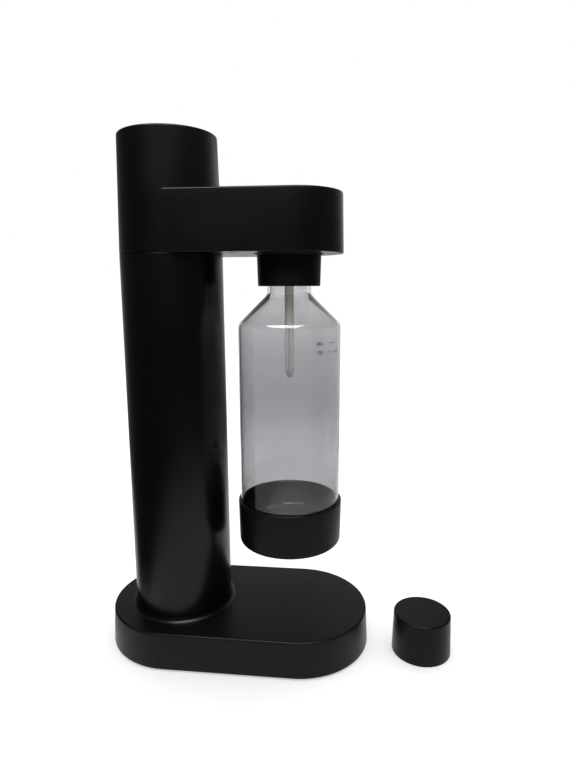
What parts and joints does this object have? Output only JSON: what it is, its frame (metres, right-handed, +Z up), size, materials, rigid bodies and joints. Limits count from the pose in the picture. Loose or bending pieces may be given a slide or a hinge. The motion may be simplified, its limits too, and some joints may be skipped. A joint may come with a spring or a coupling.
{
  "type": "sparkling water maker",
  "caption": "Countertop water carbonator: gas cylinder in a round tower with a push-button top, an arm holding a screw-in bottle over a pill-shaped base, and a loose bottle cap.",
  "frame": {"origin": "on the tower's axis at table height, in the middle of the hatch's foot", "axes": "+Z up, +X along the arm from the tower to the bottle, +Y to the back"},
  "size_m": [0.2914, 0.1184, 0.415],
  "materials": {
    "satin_black": "satin moulded plastic",
    "base_black": "satin moulded plastic",
    "collar_black": "matt moulded plastic",
    "cap_black": "satin moulded plastic",
    "inner_black": "matt moulded plastic",
    "clear_bottle": "clear blown plastic",
    "tube_grey": "matt moulded plastic",
    "nozzle_natural": "natural moulded plastic",
    "cylinder_grey": "satin",
    "valve_brass": "turned",
    "block_metal": "cast",
    "screw_steel": "plated",
    "spring_steel": "drawn wire",
    "foot_rubber": "matt",
    "seal_rubber": "matt",
    "hose_white": "extruded",
    "pad_foam": "foam"
  },
  "bodies": {
    "housing": {"arm_cover": "satin_black", "arm_cover_screw_1": "screw_steel", "arm_cover_screw_2": "screw_steel", "arm_cover_screw_3": "screw_steel", "base_plate": "inner_black", "base_screw_1": "screw_steel", "base_screw_2": "screw_steel", "base_screw_3": "screw_steel", "base_screw_4": "screw_steel", "base_shell": "base_black", "block_barb": "valve_brass", "block_screw_1": "screw_steel", "block_screw_2": "screw_steel", "bottle_collar": "collar_black", "bottle_seal": "seal_rubber", "button_spring": "spring_steel", "carbonating_head": "inner_black", "collar_screw_1": "screw_steel", "collar_screw_2": "screw_steel", "cylinder_sleeve": "inner_black", "gas_hose": "hose_white", "head_barb": "valve_brass", "head_screw_1": "screw_steel", "head_screw_2": "screw_steel", "head_shell": "satin_black", "lever_axle": "screw_steel", "nozzle_tip": "nozzle_natural", "nozzle_tube": "tube_grey", "relief_valve": "valve_brass", "rubber_foot_1": "foot_rubber", "rubber_foot_2": "foot_rubber", "rubber_foot_3": "foot_rubber", "rubber_foot_4": "foot_rubber", "sleeve_screw_1": "screw_steel", "sleeve_screw_2": "screw_steel", "sleeve_screw_3": "screw_steel", "tower_tube": "satin_black", "valve_block": "block_metal", "valve_gasket": "seal_rubber"},
    "hatch": {"cylinder_hatch": "inner_black", "hatch_foot": "foot_rubber", "hatch_pad": "pad_foam"},
    "cylinder": {"gas_cylinder": "cylinder_grey", "cylinder_valve": "valve_brass", "valve_spring": "spring_steel"},
    "valve_pin": {"valve_pin": "screw_steel"},
    "button": {"press_button": "satin_black"},
    "lever": {"press_lever": "block_metal"},
    "actuator": {"actuator_pin": "screw_steel"},
    "bottle": {"bottle": "clear_bottle", "bottle_cup": "cap_black"},
    "cap": {"loose_cap": "cap_black", "cap_liner": "seal_rubber"}
  },
  "joints": [
    {"name": "button_press", "type": "slide", "parent": "housing", "child": "button", "axis": [0, 0, -1], "range_m": [0, 0.005], "stiffness_N_per_m": 1200, "springref_m": -0.01, "deforming": ["button_spring"]},
    {"name": "lever_tilt", "type": "hinge", "parent": "housing", "child": "lever", "pos_m": [-0.016, 0, 0.3856], "axis": [0, 1, 0], "range_deg": [0, 9]},
    {"name": "actuator_pin_slide", "type": "slide", "parent": "housing", "child": "actuator", "axis": [0, 0, -1], "range_m": [0, 0.0025]},
    {"name": "cylinder_unscrew", "type": "hinge", "parent": "housing", "child": "cylinder", "pos_m": [0, 0, 0.1], "axis": [0, 0, -1], "range_deg": [0, 1080]},
    {"name": "valve_pin_slide", "type": "slide", "parent": "cylinder", "child": "valve_pin", "axis": [0, 0, -1], "range_m": [0, 0.0025], "deforming": ["valve_spring"]},
    {"name": "hatch_twist", "type": "hinge", "parent": "housing", "child": "hatch", "pos_m": [0, 0, 0], "axis": [0, 0, 1], "range_deg": [0, 40]},
    {"name": "bottle_release", "type": "slide", "parent": "housing", "child": "bottle", "axis": [0, 0, -1], "range_m": [0, 0.058]},
    {"name": "cap_lift", "type": "slide", "parent": "housing", "child": "cap", "axis": [0, 0, 1], "range_m": [0, 0.06]}
  ],
  "couplings": [
    {"joint": "lever_tilt", "follows": "button_press", "rad_per_m": 31.3},
    {"joint": "actuator_pin_slide", "follows": "button_press", "ratio": 0.5},
    {"joint": "valve_pin_slide", "follows": "button_press", "ratio": 0.5}
  ]
}
